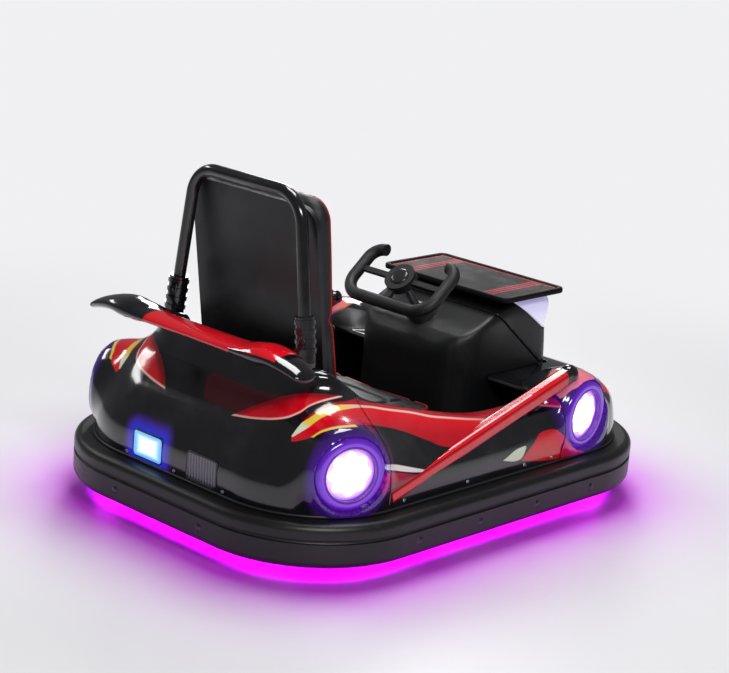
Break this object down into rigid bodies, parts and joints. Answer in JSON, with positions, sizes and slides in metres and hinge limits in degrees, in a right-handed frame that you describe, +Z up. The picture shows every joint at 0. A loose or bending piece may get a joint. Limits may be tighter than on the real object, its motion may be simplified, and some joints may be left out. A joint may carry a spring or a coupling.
{
  "type": "electric bumper car",
  "caption": "Low electric bumper car with a padded ring all round, hooded nose, high seat back with hoop, grab wing, glowing corner lamps and a steering yoke on a console.",
  "frame": {"origin": "on the floor under the middle of the bumper ring", "axes": "+X forward, +Y to the rider's left, +Z up"},
  "size_m": [1.29, 0.954, 0.812],
  "materials": {
    "shell_black": "gloss",
    "pod_shell": "gloss with red and pale stripes",
    "frame_black": "satin",
    "deck_black": "textured",
    "sill_black": "satin",
    "ring_rubber": "satin",
    "underglow_magenta": "lit",
    "pod_violet": "gloss",
    "lens_white": "lit",
    "window_lit": "lit",
    "window_dark": "satin",
    "bar_red": "gloss",
    "wing_red": "gloss",
    "tip_black": "gloss",
    "seat_shell_black": "satin",
    "seat_vinyl": "satin",
    "hoop_black": "gloss",
    "front_lamp_white": "frosted",
    "tray_black": "gloss",
    "pedal_steel": "satin",
    "battery_dark": "satin",
    "bush_steel": "satin",
    "shaft_steel": "brushed",
    "grip_rubber": "satin",
    "drive_steel": "satin",
    "hub_aluminium": "satin",
    "tyre_black": "matte",
    "zinc_steel": "zinc plated",
    "caster_tyre": "satin"
  },
  "bodies": {
    "chassis": {"frame_tubes": "frame_black", "deck_plate": "deck_black", "sill_box": "sill_black", "bumper_ring": "ring_rubber", "underglow_strip": "underglow_magenta", "rear_cowl": "shell_black", "side_pod_left": "pod_shell", "side_pod_right": "pod_shell", "nose_cowl": "shell_black", "pod_rear_left": "pod_violet", "pod_rear_right": "pod_violet", "pod_front_left": "pod_violet", "pod_front_right": "pod_violet", "corner_lenses": "lens_white", "rear_window_left": "window_lit", "rear_window_right": "window_dark", "side_bar_left": "bar_red", "side_bar_right": "bar_red", "rear_wing": "wing_red", "wing_tips": "tip_black", "seat_shell": "seat_shell_black", "seat_cushion": "seat_vinyl", "back_pad": "seat_vinyl", "back_hoop": "hoop_black", "console_cowl": "shell_black", "console_front": "shell_black", "front_lamp": "front_lamp_white", "dash_tray": "tray_black", "pedals": "pedal_steel", "battery_block": "battery_dark", "column_bush": "bush_steel", "drive_head": "drive_steel", "caster_plates": "zinc_steel"},
    "steering": {"steering_shaft": "shaft_steel", "steering_yoke": "grip_rubber"},
    "drive_unit": {"drive_fork": "drive_steel"},
    "drive_wheel": {"drive_hub": "hub_aluminium", "drive_tyre": "tyre_black"},
    "caster_left": {"caster_fork_left": "zinc_steel"},
    "caster_right": {"caster_fork_right": "zinc_steel"},
    "caster_wheel_left": {"caster_wheel_left": "caster_tyre"},
    "caster_wheel_right": {"caster_wheel_right": "caster_tyre"}
  },
  "joints": [
    {"name": "drive_steer", "type": "hinge", "parent": "chassis", "child": "drive_unit", "pos_m": [0.33, 0, 0.23], "axis": [0, 0, 1], "range_deg": [-60, 60]},
    {"name": "drive_roll", "type": "hinge", "parent": "drive_unit", "child": "drive_wheel", "pos_m": [0.33, 0, 0.1], "axis": [0, 1, 0], "continuous": true},
    {"name": "steering_turn", "type": "hinge", "parent": "chassis", "child": "steering", "pos_m": [0.1, 0, 0.506], "axis": [-0.6428, 0, 0.766], "range_deg": [-120, 120]},
    {"name": "caster_swivel_left", "type": "hinge", "parent": "chassis", "child": "caster_left", "pos_m": [-0.446, 0.268, 0.09], "axis": [0, 0, 1], "continuous": true},
    {"name": "caster_roll_left", "type": "hinge", "parent": "caster_left", "child": "caster_wheel_left", "pos_m": [-0.476, 0.268, 0.037], "axis": [0, 1, 0], "continuous": true},
    {"name": "caster_swivel_right", "type": "hinge", "parent": "chassis", "child": "caster_right", "pos_m": [-0.446, -0.268, 0.09], "axis": [0, 0, 1], "continuous": true},
    {"name": "caster_roll_right", "type": "hinge", "parent": "caster_right", "child": "caster_wheel_right", "pos_m": [-0.476, -0.268, 0.037], "axis": [0, 1, 0], "continuous": true}
  ],
  "couplings": [
    {"joint": "steering_turn", "follows": "drive_steer", "ratio": 2}
  ]
}
